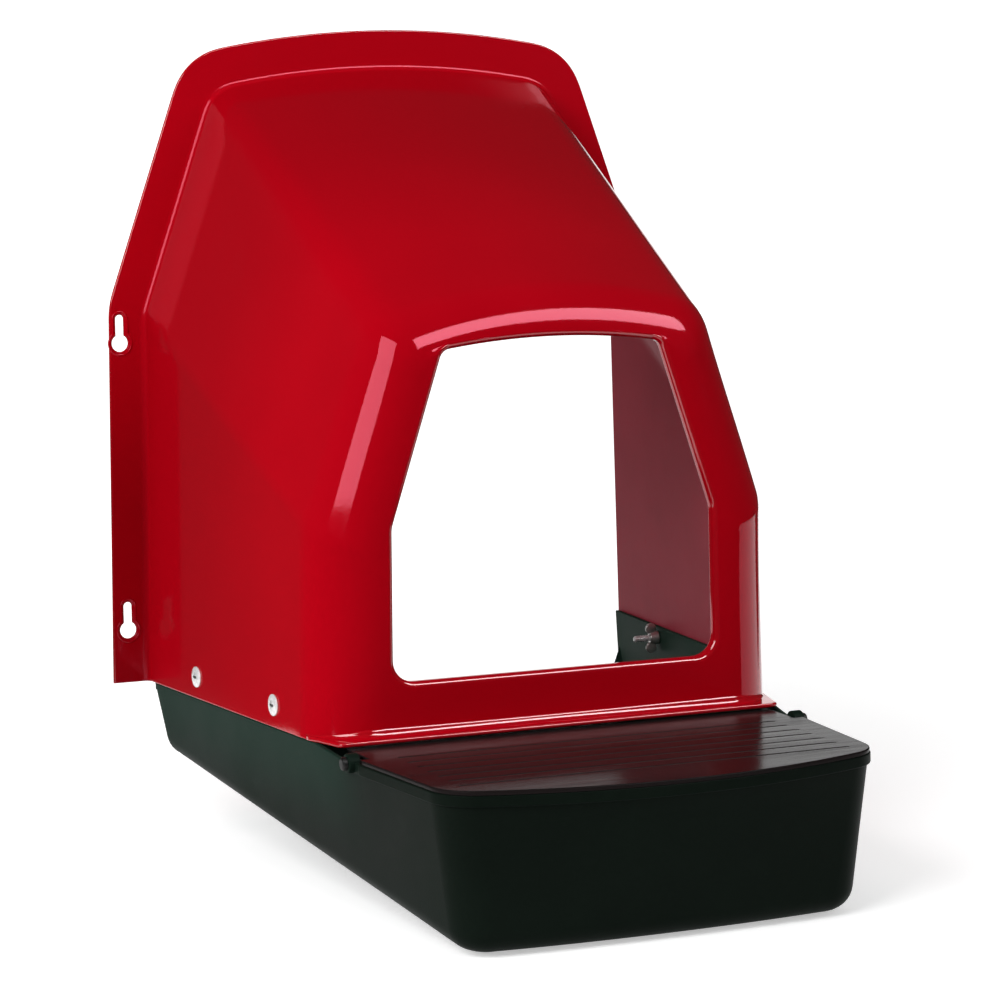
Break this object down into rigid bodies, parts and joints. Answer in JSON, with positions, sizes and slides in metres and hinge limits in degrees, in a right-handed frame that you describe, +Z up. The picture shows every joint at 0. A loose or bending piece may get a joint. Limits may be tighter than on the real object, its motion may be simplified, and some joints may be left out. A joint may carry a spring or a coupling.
{
  "type": "roll-out nest box",
  "caption": "Wall-hung roll-out nest box: a moulded hood with an arched entrance, screwed over a sloping egg tray whose front is covered by a hinged grooved lid.",
  "frame": {"origin": "on the wall plane, at the centre of the four keyholes' entry circles", "axes": "+X to the right seen from the front, +Y back into the wall, +Z up"},
  "size_m": [0.3548, 0.412, 0.4702],
  "materials": {
    "hood": "gloss",
    "tray": "satin",
    "lid": "gloss",
    "pin": "satin",
    "screw": "bright zinc",
    "nut": "dull zinc"
  },
  "bodies": {
    "box": {"hood": "hood", "tray": "tray", "hinge_pin_left": "pin", "hinge_pin_right": "pin", "screw_left_rear": "screw", "screw_right_rear": "screw", "screw_left_front": "screw", "screw_right_front": "screw", "wing_nut_left_rear": "nut", "wing_nut_right_rear": "nut", "wing_nut_left_front": "nut", "wing_nut_right_front": "nut"},
    "lid": {"lid": "lid"}
  },
  "joints": [
    {"name": "lid_hinge", "type": "hinge", "parent": "box", "child": "lid", "pos_m": [0, -0.277, -0.1205], "axis": [-1, 0, 0], "range_deg": [0, 98]}
  ]
}
